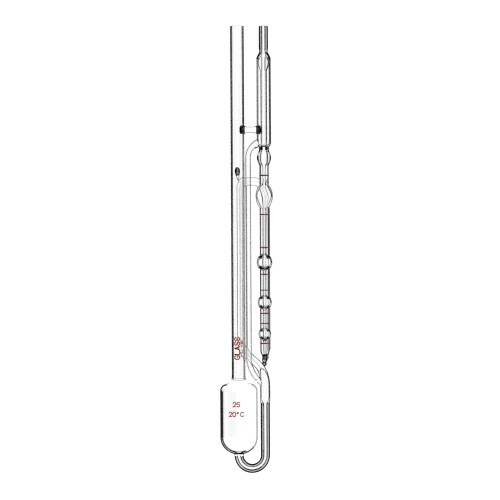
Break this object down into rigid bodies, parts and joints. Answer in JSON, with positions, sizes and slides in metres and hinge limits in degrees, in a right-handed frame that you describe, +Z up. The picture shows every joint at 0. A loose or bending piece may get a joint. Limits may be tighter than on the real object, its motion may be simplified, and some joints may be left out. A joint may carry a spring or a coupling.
{
  "type": "suspended-level capillary viscometer",
  "caption": "Fused-glass suspended-level viscometer: wide filling tube, reservoir, U-bend, dome, stacked timing bulbs, vent jacket and a capillary looped behind.",
  "frame": {"origin": "on the filling tube's axis, where the holder grips it, 44.8 mm below the open rims", "axes": "+Z up along the filling tube, +X from the filling tube to the bulb stem, +Y to the back, where the capillary loop is"},
  "size_m": [0.046, 0.032, 0.3808],
  "materials": {
    "clear_glass": "fire polished",
    "red_enamel": "fired enamel line"
  },
  "bodies": {
    "root": {"bulb_stem_1": "clear_glass", "bulb_stem_2": "clear_glass", "bulb_stem_3": "clear_glass", "bulb_stem_4": "clear_glass", "capillary_arch": "clear_glass", "capillary_back_leg": "clear_glass", "capillary_foot": "clear_glass", "capillary_front_leg": "clear_glass", "fill_brace": "clear_glass", "fill_tube": "clear_glass", "inner_collar": "clear_glass", "inner_tube": "clear_glass", "nozzle": "clear_glass", "prerun_bulb": "clear_glass", "rear_brace": "clear_glass", "reservoir": "clear_glass", "return_bend": "clear_glass", "ring_seal": "clear_glass", "riser_tube": "clear_glass", "support_bead": "clear_glass", "suspended_level_dome": "clear_glass", "tapered_stem": "clear_glass", "timing_bulb_1": "clear_glass", "timing_bulb_2": "clear_glass", "timing_bulb_3": "clear_glass", "timing_bulb_4": "clear_glass", "timing_mark_1": "red_enamel", "timing_mark_2": "red_enamel", "timing_mark_3": "red_enamel", "timing_mark_4": "red_enamel", "timing_mark_5": "red_enamel", "timing_mark_6": "red_enamel", "timing_mark_7": "red_enamel", "timing_mark_8": "red_enamel", "u_bend": "clear_glass", "vent_jacket": "clear_glass", "vent_lower_bend": "clear_glass", "vent_tube": "clear_glass", "vent_upper_bend": "clear_glass"}
  },
  "joints": []
}
